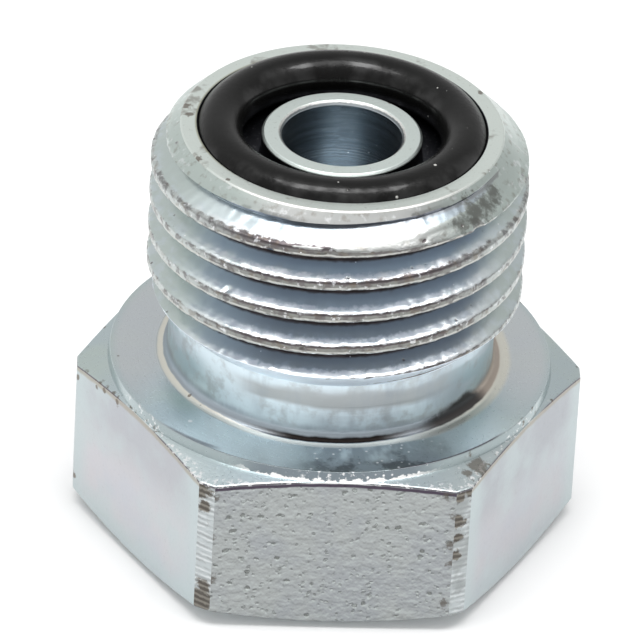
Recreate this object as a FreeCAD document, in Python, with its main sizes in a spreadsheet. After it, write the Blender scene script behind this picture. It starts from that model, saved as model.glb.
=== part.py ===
import FreeCAD, Part
import Sketcher
import os

# Face-seal plug of a hydraulic line: a steel body turned from hexagon bar, with a threaded end,
# and the O-ring that its end face holds in a captive groove.
# The closed end of the hexagon stands on z = 0, the thread's axis is +Z, and two of the six
# flats face -Y and +Y. The thread is drawn as a cylinder at its major diameter.

doc = FreeCAD.newDocument("ThreadedPlug")

# Driving dimensions, in millimetres and degrees
dimensions = [
    ("hex_across_flats", 17.0, "wrench size of the head"),
    ("corner_diameter", 19.25, "turned diameter of the hexagon's corners"),
    ("head_height", 7.0, "closed end to shoulder"),
    ("end_face_diameter", 15.2, "flat of the closed end, inside its chamfer"),
    ("end_chamfer_angle", 18.0, "chamfer of the closed end, from flat"),
    ("washer_face_diameter", 16.8, "raised face of the shoulder"),
    ("washer_foot_diameter", 16.94, "foot of the raised face"),
    ("washer_face_step", 0.38, "height of the raised face"),
    ("shoulder_chamfer_angle", 16.3, "chamfer below the raised face, from flat"),
    ("shank_length", 10.0, "shoulder to sealing face"),
    ("neck_diameter", 12.4, "plain neck below the thread"),
    ("neck_length", 2.4, "shoulder to the foot of the relief cone"),
    ("neck_fillet_radius", 0.45, "root of the neck on the shoulder"),
    ("relief_angle", 45.0, "cone from the neck up to the thread, from flat"),
    ("thread_diameter", 14.288, "major diameter of the thread, nine sixteenths of an inch"),
    ("seal_face_diameter", 12.1, "outer edge of the sealing face"),
    ("lead_chamfer_angle", 45.0, "cone from the sealing face down to the thread, from flat"),
    ("groove_mouth_diameter", 10.88, "lip of the groove at the sealing face"),
    ("groove_wall_angle", 20.0, "undercut of the groove's outer wall, from the axis"),
    ("groove_depth", 1.35, "sealing face to the groove's floor"),
    ("boss_diameter", 6.06, "boss inside the groove"),
    ("boss_drop", 0.285, "sealing face to the top of the boss"),
    ("boss_edge_chamfer", 0.1, "outer edge of the boss"),
    ("bore_diameter", 4.5, "blind bore"),
    ("bore_depth", 8.0, "sealing face to the end of the bore's straight wall"),
    ("bore_edge_chamfer", 0.15, "mouth of the bore"),
    ("drill_point_angle", 118.0, "full angle of the cone that ends the bore"),
    ("ring_section_diameter", 1.78, "thickness of the O-ring"),
    ("ring_clearance", 0.02, "O-ring to the groove's floor and to its outer wall"),
]
sizes = doc.addObject("Spreadsheet::Sheet", "Sizes")
for row, (alias, value, meaning) in enumerate(dimensions, start=1):
    sizes.set(f"A{row}", meaning)
    sizes.set(f"B{row}", str(value))
    sizes.setAlias(f"B{row}", alias)
doc.recompute()

# Radii that follow from the driving diameters
corner_radius = "Sizes.corner_diameter / 2"
end_face_radius = "Sizes.end_face_diameter / 2"
washer_face_radius = "Sizes.washer_face_diameter / 2"
washer_foot_radius = "Sizes.washer_foot_diameter / 2"
neck_radius = "Sizes.neck_diameter / 2"
thread_radius = "Sizes.thread_diameter / 2"
seal_face_radius = "Sizes.seal_face_diameter / 2"
mouth_radius = "Sizes.groove_mouth_diameter / 2"
boss_radius = "Sizes.boss_diameter / 2"
bore_radius = "Sizes.bore_diameter / 2"
section_radius = "Sizes.ring_section_diameter / 2"
across_corners = "Sizes.hex_across_flats / cos(30)"
blank_radius = f"{across_corners} / 2 + {corner_radius}"
groove_floor_radius = f"{mouth_radius} + Sizes.groove_depth * tan(Sizes.groove_wall_angle)"

# Heights that follow, from the closed end up to the sealing face
end_corner = f"({corner_radius} - {end_face_radius}) * tan(Sizes.end_chamfer_angle)"
shoulder = "Sizes.head_height"
washer_foot = f"{shoulder} - Sizes.washer_face_step"
shoulder_drop = f"({corner_radius} - {washer_foot_radius}) * tan(Sizes.shoulder_chamfer_angle)"
shoulder_corner = f"{washer_foot} - {shoulder_drop}"
relief_foot = f"{shoulder} + Sizes.neck_length"
relief_top = f"{relief_foot} + ({thread_radius} - {neck_radius}) * tan(Sizes.relief_angle)"
seal_face = f"{shoulder} + Sizes.shank_length"
lead_foot = f"{seal_face} - ({thread_radius} - {seal_face_radius}) * tan(Sizes.lead_chamfer_angle)"
boss_top = f"{seal_face} - Sizes.boss_drop"
groove_floor = f"{seal_face} - Sizes.groove_depth"
bore_end = f"{seal_face} - Sizes.bore_depth"
drill_tip = f"{bore_end} - {bore_radius} / tan(Sizes.drill_point_angle / 2)"

# The O-ring rests on the floor of the groove and under its slanted outer wall
ring_reach = f"{section_radius} + Sizes.ring_clearance"
ring_height = f"{groove_floor} + {ring_reach}"
ring_depth = f"Sizes.groove_depth - ({ring_reach})"
ring_radius = (f"{mouth_radius} + ({ring_depth}) * tan(Sizes.groove_wall_angle)"
               f" - ({ring_reach}) / cos(Sizes.groove_wall_angle)")


# One of the body's own origin planes, by its role
def origin_plane(body, role):
    for feature in body.Origin.OriginFeatures:
        if feature.Role == role:
            return feature
    raise ValueError(f"{body.Label} has no {role}")


# An empty sketch on one of the body's origin planes
def new_sketch(body, name, role):
    sketch = body.newObject("Sketcher::SketchObject", name)
    sketch.AttachmentSupport = (origin_plane(body, role), [""])
    sketch.MapMode = "FlatFace"
    return sketch


# A named constraint whose value is bound to an expression
def bind(sketch, constraint, name, expression):
    index = sketch.addConstraint(constraint)
    sketch.renameConstraint(index, name)
    sketch.setExpression(f"Constraints.{name}", expression)


# Ties one point of the sketch to a radius and a height, or to an axis where one of them is 0
def place_point(sketch, geometry, position, name, radius, height):
    origin = (-1, 1)
    vertical_axis, horizontal_axis = -2, -1
    ties = (("DistanceX", "radius", radius, vertical_axis),
            ("DistanceY", "height", height, horizontal_axis))
    for kind, word, expression, axis in ties:
        if expression == "0":
            sketch.addConstraint(Sketcher.Constraint("PointOnObject", geometry, position, axis))
            continue
        value = sketch.evalExpression(expression)
        constraint = Sketcher.Constraint(kind, *origin, geometry, position, value)
        bind(sketch, constraint, f"{name}_{word}", expression)


# A closed outline in the XZ plane, ready to be turned about the Z axis.
# Each corner is a name, a radius and a height, the last two as expressions.
def turned_sketch(body, name, corners):
    sketch = new_sketch(body, name, "XZ_Plane")
    points = []
    for _, radius, height in corners:
        x, y = sketch.evalExpression(radius), sketch.evalExpression(height)
        points.append(FreeCAD.Vector(x, y, 0))
    for start, end in zip(points, points[1:] + points[:1]):
        sketch.addGeometry(Part.LineSegment(start, end), False)
    for line in range(len(corners)):
        following = (line + 1) % len(corners)
        sketch.addConstraint(Sketcher.Constraint("Coincident", line, 2, following, 1))
    for line, (corner, radius, height) in enumerate(corners):
        place_point(sketch, line, 1, corner, radius, height)
    return sketch


# Turns an outline about the Z axis, as added metal or as a cut
def turn(body, kind, name, corners):
    before = body.Shape.Volume if body.Tip else 0.0
    sketch = turned_sketch(body, f"{name}Outline", corners)
    feature = body.newObject(kind, name)
    feature.Profile = sketch
    feature.ReferenceAxis = (sketch, ["V_Axis"])
    feature.Angle = 360.0
    doc.recompute()
    change = body.Shape.Volume - before
    if (change > 0) != (kind == "PartDesign::Revolution"):
        raise ValueError(f"{name} changed the volume by {change:.3f}")
    return feature


# Names of the circular edges of a feature at one radius and one height
def circular_edges(feature, radius, height):
    near = 1e-4
    wanted_radius, wanted_height = sizes.evalExpression(radius), sizes.evalExpression(height)
    names = []
    for number, edge in enumerate(feature.Shape.Edges, start=1):
        if not isinstance(edge.Curve, Part.Circle):
            continue
        at_radius = abs(edge.Curve.Radius - wanted_radius) < near
        at_height = abs(edge.Curve.Center.z - wanted_height) < near
        if at_radius and at_height:
            names.append(f"Edge{number}")
    if not names:
        raise ValueError(f"no edge at radius {wanted_radius:.3f}, height {wanted_height:.3f}")
    return names


# Rounds or bevels the circular edge of a turned feature
def dress_edge(body, kind, name, base, edge_place, measure, alias):
    feature = body.newObject(kind, name)
    feature.Base = (base, circular_edges(base, *edge_place))
    feature.setExpression(measure, f"Sizes.{alias}")
    doc.recompute()
    return feature


# The hexagon bar, corners on the X axis
def hexagon_blank(body):
    sketch = new_sketch(body, "HexagonOutline", "XY_Plane")
    radius = sketch.evalExpression(across_corners) / 2
    corner = FreeCAD.Vector(radius, 0, 0)
    up = FreeCAD.Vector(0, 0, 1)
    points = [FreeCAD.Rotation(up, 60 * number).multVec(corner) for number in range(6)]
    for start, end in zip(points, points[1:] + points[:1]):
        sketch.addGeometry(Part.LineSegment(start, end), False)
    circle = sketch.addGeometry(Part.Circle(FreeCAD.Vector(), up, radius), True)
    sketch.addConstraint(Sketcher.Constraint("Coincident", circle, 3, -1, 1))
    for line in range(6):
        sketch.addConstraint(Sketcher.Constraint("Coincident", line, 2, (line + 1) % 6, 1))
        sketch.addConstraint(Sketcher.Constraint("PointOnObject", line, 1, circle))
    for line in range(1, 6):
        sketch.addConstraint(Sketcher.Constraint("Equal", 0, line))
    sketch.addConstraint(Sketcher.Constraint("PointOnObject", 0, 1, -1))
    diameter = Sketcher.Constraint("Diameter", circle, 2 * radius)
    bind(sketch, diameter, "across_corners", across_corners)
    pad = body.newObject("PartDesign::Pad", "HexagonBar")
    pad.Profile = sketch
    pad.setExpression("Length", shoulder)
    doc.recompute()
    return pad


# The steel body, in the order in which the lathe makes it
def make_plug_body():
    body = doc.addObject("PartDesign::Body", "PlugBody")
    body.Label = "plug_body"
    hexagon_blank(body)
    turn(body, "PartDesign::Groove", "HeadTurning", [
        ("end_face", end_face_radius, "0"),
        ("end_corner", corner_radius, end_corner),
        ("shoulder_corner", corner_radius, shoulder_corner),
        ("washer_foot", washer_foot_radius, washer_foot),
        ("washer_face", washer_face_radius, shoulder),
        ("blank_top", blank_radius, shoulder),
        ("blank_foot", blank_radius, "0"),
    ])
    shank = turn(body, "PartDesign::Revolution", "Shank", [
        ("shank_root", "0", shoulder),
        ("neck_root", neck_radius, shoulder),
        ("relief_foot", neck_radius, relief_foot),
        ("relief_top", thread_radius, relief_top),
        ("lead_foot", thread_radius, lead_foot),
        ("face_edge", seal_face_radius, seal_face),
        ("face_centre", "0", seal_face),
    ])
    dress_edge(body, "PartDesign::Fillet", "NeckFillet", shank,
               (neck_radius, shoulder), "Radius", "neck_fillet_radius")
    groove = turn(body, "PartDesign::Groove", "SealGroove", [
        ("mouth", mouth_radius, seal_face),
        ("floor_outside", groove_floor_radius, groove_floor),
        ("floor_inside", boss_radius, groove_floor),
        ("boss_edge", boss_radius, boss_top),
        ("boss_centre", "0", boss_top),
        ("face_centre", "0", seal_face),
    ])
    dress_edge(body, "PartDesign::Chamfer", "BossEdge", groove,
               (boss_radius, boss_top), "Size", "boss_edge_chamfer")
    bore = turn(body, "PartDesign::Groove", "Bore", [
        ("mouth", bore_radius, boss_top),
        ("bore_end", bore_radius, bore_end),
        ("drill_tip", "0", drill_tip),
        ("mouth_centre", "0", boss_top),
    ])
    dress_edge(body, "PartDesign::Chamfer", "BoreEdge", bore,
               (bore_radius, boss_top), "Size", "bore_edge_chamfer")
    return body


# The O-ring, turned about its own centre and set into the groove by its placement
def make_o_ring():
    body = doc.addObject("PartDesign::Body", "ORing")
    body.Label = "o_ring"
    sketch = new_sketch(body, "SectionOutline", "XZ_Plane")
    centre = FreeCAD.Vector(sketch.evalExpression(ring_radius), 0, 0)
    radius = sketch.evalExpression(section_radius)
    circle = sketch.addGeometry(Part.Circle(centre, FreeCAD.Vector(0, 0, 1), radius), False)
    place_point(sketch, circle, 3, "ring", ring_radius, "0")
    bind(sketch, Sketcher.Constraint("Radius", circle, radius), "section", section_radius)
    ring = body.newObject("PartDesign::Revolution", "Ring")
    ring.Profile = sketch
    ring.ReferenceAxis = (sketch, ["V_Axis"])
    ring.Angle = 360.0
    body.setExpression("Placement.Base.z", ring_height)
    doc.recompute()
    return body


# Stops at any object that failed, and at any part that isn't one sound solid
def check_parts(bodies):
    for item in doc.Objects:
        if "Invalid" in item.State or "Error" in item.State:
            raise ValueError(f"{item.Label} failed: {item.State}")
    for body in bodies:
        shape = body.Shape
        if shape.isNull() or not shape.isValid() or len(shape.Solids) != 1:
            raise ValueError(f"{body.Label} isn't one valid solid")
        box = shape.BoundBox
        print(f"{body.Label}: {shape.Volume:.2f} mm3, z {box.ZMin:.3f} to {box.ZMax:.3f},"
              f" x {box.XLength:.3f}, y {box.YLength:.3f}")


parts = [make_plug_body(), make_o_ring()]
check_parts(parts)
os.makedirs("parts", exist_ok=True)
for part in parts:
    part.Shape.exportStep(f"parts/{part.Label}.step")
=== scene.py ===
import math

import bmesh
import bpy
import numpy as np
from mathutils import Matrix, Vector


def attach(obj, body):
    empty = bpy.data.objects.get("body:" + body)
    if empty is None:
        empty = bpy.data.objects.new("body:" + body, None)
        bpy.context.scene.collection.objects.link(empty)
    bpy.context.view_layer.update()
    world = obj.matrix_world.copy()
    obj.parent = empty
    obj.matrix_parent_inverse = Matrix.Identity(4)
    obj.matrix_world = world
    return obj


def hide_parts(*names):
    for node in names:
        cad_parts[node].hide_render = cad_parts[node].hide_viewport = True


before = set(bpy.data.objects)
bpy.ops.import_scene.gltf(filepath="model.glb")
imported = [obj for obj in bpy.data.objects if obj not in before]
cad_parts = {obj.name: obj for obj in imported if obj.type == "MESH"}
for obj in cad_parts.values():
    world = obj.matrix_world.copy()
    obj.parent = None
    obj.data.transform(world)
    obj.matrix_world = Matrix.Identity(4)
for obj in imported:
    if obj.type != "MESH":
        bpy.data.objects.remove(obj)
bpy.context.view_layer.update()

millimetre = 0.001


class Wire:  # one socket of a node, with the sums that are used on it
    def __init__(self, board, socket):
        self.board, self.socket = board, socket

    def __add__(self, other):
        return self.board.maths("ADD", self, other)

    def __radd__(self, other):
        return self.board.maths("ADD", other, self)

    def __sub__(self, other):
        return self.board.maths("SUBTRACT", self, other)

    def __rsub__(self, other):
        return self.board.maths("SUBTRACT", other, self)

    def __mul__(self, other):
        return self.board.maths("MULTIPLY", self, other)

    def __rmul__(self, other):
        return self.board.maths("MULTIPLY", other, self)

    def __truediv__(self, other):
        return self.board.maths("DIVIDE", self, other)

    def __neg__(self):
        return self.board.maths("MULTIPLY", self, -1.0)

    def size(self):
        return self.board.maths("ABSOLUTE", self)

    def step(self, low, high):  # from 0 at low to 1 at high, where low may be the larger
        settings = {"interpolation_type": "SMOOTHSTEP", "clamp": True}
        sockets = {"Value": self, "From Min": min(low, high), "From Max": max(low, high),
                   "To Min": float(low > high), "To Max": float(low < high)}
        return self.board.add("ShaderNodeMapRange", settings, sockets, "Result")

    def band(self, start, full, fade, end):
        return self.step(start, full) * self.step(end, fade)


class Board:  # a node tree, with one method that adds any node
    def __init__(self, tree):
        self.tree = tree

    def add(self, kind, settings=None, values=(), out=0):
        node = self.tree.nodes.new(kind)
        for name, value in (settings or {}).items():
            setattr(node, name, value)
        pairs = values.items() if isinstance(values, dict) else enumerate(values)
        for key, value in pairs:
            socket = self.find(node.inputs, key)
            if isinstance(value, Wire):
                self.tree.links.new(value.socket, socket)
            else:
                socket.default_value = value
        return Wire(self, self.find(node.outputs, out)) if len(node.outputs) else None

    def find(self, sockets, key):
        if isinstance(key, int):
            return sockets[key]
        for socket in sockets:
            if key in (socket.identifier, socket.name) and socket.enabled:
                return socket
        raise KeyError(f"no socket {key}")

    def maths(self, operation, *values):
        return self.add("ShaderNodeMath", {"operation": operation}, values)

    def vector(self, operation, values, out="Vector"):
        return self.add("ShaderNodeVectorMath", {"operation": operation}, values, out)

    def other(self, wire, out):
        return Wire(self, self.find(wire.socket.node.outputs, out))

    def split(self, vector):
        x = self.add("ShaderNodeSeparateXYZ", None, (vector,), "X")
        return x, self.other(x, "Y"), self.other(x, "Z")

    def join(self, x, y, z):
        return self.add("ShaderNodeCombineXYZ", None, (x, y, z))

    def noise(self, vector, scale, detail=3.0, roughness=0.5):
        sockets = {"Vector": vector, "Scale": scale, "Detail": detail, "Roughness": roughness}
        return self.add("ShaderNodeTexNoise", None, sockets, "Fac")

    def patches(self, vector, scale, low, high, detail=3.0, roughness=0.55):
        return self.noise(vector, scale, detail, roughness).step(low, high)

    def dots(self, vector, scale, size, share):  # round specks in a share of the cells
        sockets = {"Vector": vector, "Scale": scale}
        distance = self.add("ShaderNodeTexVoronoi", None, sockets, "Distance")
        chance, _, _ = self.split(self.other(distance, "Color"))
        return distance.step(size * 1.4, size * 0.6) * chance.step(1 - share, 1.001 - share)

    def spots(self, vector, places):  # ragged spots at given places, each x, y, z and its radius
        ragged = (self.noise(vector, 2.8, 5.0, 0.7) - 0.5) * 3.2 + 1.0
        mask = None
        for x, y, z, size in places:
            distance = self.vector("DISTANCE", (vector, (x, y, z)), "Value") * ragged
            one = distance.step(size * 1.25, size * 0.7)
            mask = one if mask is None else self.maths("MAXIMUM", mask, one)
        return mask

    def mix(self, factor, first, second):
        settings = {"data_type": "RGBA", "clamp_factor": True}
        sockets = {"Factor_Float": factor, "A_Color": first, "B_Color": second}
        return self.add("ShaderNodeMix", settings, sockets, "Result_Color")

    def bump(self, height):  # height in millimetres
        sockets = {"Strength": 1.0, "Distance": millimetre, "Height": height}
        return self.add("ShaderNodeBump", None, sockets, "Normal")


def grey(level):
    return (level, level, level, 1.0)


def colour(red, green, blue):
    return (red, green, blue, 1.0)


class Place:  # object coordinates in millimetres, with aside in degrees from the front
    def __init__(self, board):
        metres = board.add("ShaderNodeTexCoord", None, (), "Object")
        self.point = board.vector("SCALE", {"Vector": metres, "Scale": 1.0 / millimetre})
        self.x, self.y, self.z = board.split(self.point)
        self.radius = board.maths("SQRT", self.x * self.x + self.y * self.y)
        self.angle = board.maths("ARCTAN2", self.y, self.x)
        self.aside = board.maths("ARCTAN2", self.x, -self.y) * math.degrees(1.0)
        self.fromFront = self.aside.size()
        self.unrolled = board.join(self.aside * 0.12, self.radius, self.z)


class Coat:  # the colour of a finish, laid on in layers out of a dictionary of paints
    def __init__(self, board, paints, first):
        self.board, self.paints = board, paints
        self.colour = paints[first]

    def blend(self, mask, *both):
        both = [self.paints[one] if isinstance(one, str) else one for one in both]
        return self.board.mix(mask, *both)

    def lay(self, mask, paint):
        self.colour = self.blend(mask, self.colour, paint)


def newMaterial(name):
    material = bpy.data.materials.new(name)
    material.use_nodes = True
    material.node_tree.nodes.clear()
    return material, Board(material.node_tree)


def finishMaterial(board, sockets):
    shader = board.add("ShaderNodeBsdfPrincipled", None, sockets, "BSDF")
    board.add("ShaderNodeOutputMaterial", None, {"Surface": shader})


def newObject(name, data):
    made = bpy.data.objects.new(name, data)
    bpy.context.scene.collection.objects.link(made)
    return made


def newPiece(name, mesh, materials):  # smooth all over, with its place in its mesh
    mesh.polygons.foreach_set("use_smooth", [True] * len(mesh.polygons))
    for material in materials:
        mesh.materials.append(material)
    return newObject(name, mesh)


plug = {
    "columns": 432, "acrossFlats": 17.0, "cornerRadius": 9.625, "headHeight": 7.0,
    "endFaceRadius": 7.6, "endChamferAngle": 18.0, "washerFaceRadius": 8.4,
    "washerFootRadius": 8.47, "washerStep": 0.38, "shoulderChamferAngle": 16.3,
    "neckRadius": 6.2, "neckLength": 2.4, "neckFillet": 0.45, "sealFace": 17.0,
    "sealFaceRadius": 6.05, "mouthRadius": 5.44, "grooveFloorRadius": 5.931,
    "grooveFloor": 15.65, "bossRadius": 3.03, "bossTop": 16.715, "bossEdge": 0.1,
    "boreRadius": 2.25, "boreEdge": 0.15, "boreEnd": 9.0, "drillTip": 7.648,
    "frontFlat": 4, "sharpFrom": 40.0, "weld": 0.003,
    "rounding": {"end": 0.1, "side": 0.09, "shoulder": 0.07, "turned": 0.03, "face": 0.07,
                 "mouth": 0.05, "floor": 0.08},
}

thread = {
    "columns": plug["columns"], "rowsPerTurn": 24, "crowding": 0.45, "pitch": 1.4111,
    "majorRadius": 7.144, "rootRadius": 6.28, "crestWidth": 0.33, "flankSlope": 1.732,
    "edgeRounding": 0.06, "crestStart": 14.5787, "bottom": 9.4, "top": 16.95,
    "neckRadius": plug["neckRadius"], "faceRadius": plug["sealFaceRadius"],
    "faceHeight": plug["sealFace"], "dentDepth": 0.07, "crestGrain": 0.05, "edgeWobble": 0.085,
}

# Marks on the crests: degrees aside from the front, height, size, and how far it stands out
crestMarks = [(-23.6, 15.46, 0.16, -0.16), (0.3, 14.72, 0.13, 0.12), (3.4, 14.66, 0.12, 0.10),
              (-38.0, 13.06, 0.14, -0.10), (12.9, 11.92, 0.22, 0.07), (44.0, 15.9, 0.35, -0.08),
              (21.0, 13.3, 0.15, -0.09), (-12.0, 11.6, 0.13, -0.08)]


def crestMarkPlaces():
    reach = thread["majorRadius"]
    for aside, height, size, out in crestMarks:
        turn = math.radians(aside)
        yield reach * math.sin(turn), -reach * math.cos(turn), height, size, out


threadPaint = {
    "flank": colour(0.64, 0.70, 0.72), "flankAside": colour(0.53, 0.60, 0.58),
    "flankLitLeft": colour(0.73, 0.82, 0.83), "landLine": colour(0.60, 0.61, 0.58),
    "deep": colour(0.55, 0.63, 0.67), "deepLow": colour(0.43, 0.46, 0.465),
    "cloud": colour(0.62, 0.69, 0.74), "lit": colour(0.90, 0.92, 0.94),
    "underShade": colour(0.23, 0.27, 0.33), "root": colour(0.17, 0.15, 0.15),
    "landAbove": colour(0.12, 0.105, 0.11), "land": colour(0.25, 0.255, 0.24),
    "landAside": colour(0.53, 0.57, 0.56), "brown": colour(0.17, 0.13, 0.09),
    "lead": colour(0.46, 0.47, 0.46), "leadAside": colour(0.52, 0.59, 0.56),
    "relief": colour(0.82, 0.88, 0.95), "scuff": colour(0.19, 0.20, 0.185),
    "scuffs": [(4.75, -4.75, 16.25, 0.55), (4.3, -5.3, 16.2, 0.40), (5.3, -4.3, 16.3, 0.45),
               (5.55, -3.7, 16.4, 0.35)],
    "nicks": [(-2.86, -6.55, 15.46, 0.13), (0.04, -7.14, 14.75, 0.07), (-5.9, -4.0, 13.4, 0.08)],
}


def paintThread(board, at):
    pitch, land = thread["pitch"], thread["crestWidth"] / 2
    depth = thread["majorRadius"] - at.radius
    rise = at.z - at.angle * (pitch / math.tau) - (thread["crestStart"] + land)
    side = (board.maths("FRACT", rise / pitch + 0.5) - 0.5) * pitch  # 0 in the middle of a crest
    wobble = (board.noise(at.point, 3.5, 3.0, 0.6) - 0.5) * 0.16
    front = at.fromFront.step(62.0, 25.0)

    # painted shade: the valleys in front are darker, more so deeper in and lower down the thread
    inside = at.aside.band(-52.0, -14.0, 38.0, 68.0) * (depth + wobble).step(0.16, 0.42)
    deep = Coat(board, threadPaint, "deep")
    deep.lay(at.z.step(15.2, 11.0), "deepLow")
    deep.lay(depth.step(0.40, 0.72) * 0.45, "underShade")
    coat = Coat(board, threadPaint, "flank")
    # painted light: the flank lighter on the left, where the light is stronger, and duller to the sides
    coat.lay(at.aside.step(-16.0, -38.0), "flankLitLeft")
    coat.lay(at.fromFront.step(42.0, 66.0), "flankAside")
    coat.lay(inside, deep.colour)
    cloud = (depth + wobble * 2.5).step(0.55, 0.25) * board.patches(at.unrolled, 1.6, 0.42, 0.62)
    coat.lay(cloud * 0.55, "cloud")
    lit = (depth + wobble * 2.4).step(0.36, 0.22) * board.patches(at.unrolled, 3.0, 0.32, 0.46)
    coat.lay(lit * front * 0.9, "lit")
    # painted shade: the lower faces of the turns are darker in front than to the sides
    underShade = coat.blend(at.fromFront.step(45.0, 75.0), "underShade", "landAside")
    coat.lay((-side).step(land - 0.01, land + 0.03), underShade)
    rim = Coat(board, threadPaint, "land")  # the flat top of each crest
    # each crest top is darker on its upper half and on the higher turns; its darker tone in front than
    # to the sides is painted shade
    rim.lay((side + wobble * 0.6).step(0.06, 0.11), "landAbove")
    rim.lay(at.z.step(14.2, 15.0) * 0.4, "landAbove")
    rim.colour = rim.blend(front, "landAside", rim.colour)
    rim.lay(board.patches(at.unrolled, 2.4, 0.50, 0.68) * 0.5, "brown")
    rim.lay(board.patches(at.unrolled, 3.4, 0.46, 0.60) * 0.6, "landAbove")
    rim.lay(board.patches(at.point, 4.0, 0.60, 0.70) * 0.6, "lit")
    low = (side + wobble * 0.4).band(-0.15, -0.12, -0.08, -0.04)
    rim.lay(low * board.patches(at.unrolled, 2.2, 0.34, 0.52) * 0.8, "landLine")
    onLand = side.size() + wobble - at.z.step(14.4, 14.9) * 0.09
    onLand = onLand.step(land + 0.03, land - 0.02)
    coat.lay(onLand, rim.colour)
    # the roots are painted dark, partly dirt, partly painted shade; less so at the top turn and to the
    # left
    root = (depth + wobble * 0.5).step(0.72, 0.82)
    root = root * (1.0 - at.z.step(15.9, 16.3) * (0.5 + at.aside.step(-10.0, -34.0) * 0.5))
    coat.lay(root, "root")

    # how far a place lies inside the lead chamfer, and inside the relief cone
    inCone = thread["faceRadius"] + thread["faceHeight"] - at.z - at.radius
    lead = Coat(board, threadPaint, "lead")
    lead.lay(at.fromFront.step(20.0, 45.0), "leadAside")
    lead.lay(board.patches(at.point, 3.2, 0.52, 0.70) * 0.35, "brown")
    lead.lay(board.patches(at.point, 2.6, 0.44, 0.30) * 0.4, "lit")
    coat.lay(inCone.step(0.03, 0.015), lead.colour)
    relief = thread["neckRadius"] + at.z - thread["bottom"] - at.radius
    onRelief = relief.step(0.05, 0.02)
    coat.lay(onRelief, "relief")
    scuff = board.spots(at.point, threadPaint["scuffs"]) * board.patches(at.point, 2.6, 0.28, 0.56)
    coat.lay(scuff * 0.92, "scuff")
    pits = board.maths("MAXIMUM", board.dots(at.point, 1.6, 0.09, 0.25) * 0.8,
                       board.spots(at.point, threadPaint["nicks"]))
    coat.lay(pits, "root")
    coat.lay(board.dots(at.point, 2.4, 0.07, 0.12), "lit")
    soft = board.noise(board.join(at.angle * 6.0, side * 4.0, depth * 2.0), 1.0, 1.0)
    lumps = board.noise(at.unrolled, 3.2, 3.0, 0.6) * depth.step(0.30, 0.05)
    rough = 0.29 + onLand * 0.08 + onRelief * 0.2
    return coat.colour, rough, soft * 0.004 + lumps * 0.025 - pits * 0.02


neckPaint = {
    "teal": colour(0.47, 0.60, 0.64), "pale": colour(0.62, 0.70, 0.75),
    "light": colour(0.72, 0.83, 0.89), "dull": colour(0.42, 0.45, 0.46),
    "slateShade": colour(0.34, 0.39, 0.44), "dark": colour(0.065, 0.068, 0.07),
    "rust": colour(0.085, 0.055, 0.04), "tan": colour(0.56, 0.46, 0.37),
    "black": colour(0.016, 0.013, 0.012), "cream": colour(0.70, 0.69, 0.62),
    "white": colour(0.97, 0.95, 0.89),
    "brownSpots": [(-5.44, -3.46, 7.08, 0.07), (-5.0, -4.08, 6.98, 0.08)],
}


def paintRoot(board, at, coat):  # dark line and bright edge round the foot of the neck
    # the dark line in the corner is partly stain, partly painted shade; the light edge beside it is a
    # painted highlight
    out = at.radius - plug["neckRadius"] + (board.noise(at.unrolled, 1.6) - 0.5) * 0.07
    aside = at.fromFront.step(14.0, 36.0)
    dark = board.mix(aside, neckPaint["black"], neckPaint["rust"])
    coat.lay(out.band(0.06, 0.13, 0.25, 0.30) * (1.0 - aside * 0.8), dark)
    bright = board.mix(at.fromFront.step(16.0, 48.0), neckPaint["white"], neckPaint["cream"])
    left, right = at.aside.step(-18.0, -44.0), at.aside.step(14.0, 36.0)
    reach = out * (1.0 - right * 0.4) + right * 0.12 + left * 0.11
    coat.lay(reach.band(0.27, 0.32, 0.46, 0.60), bright)


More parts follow.
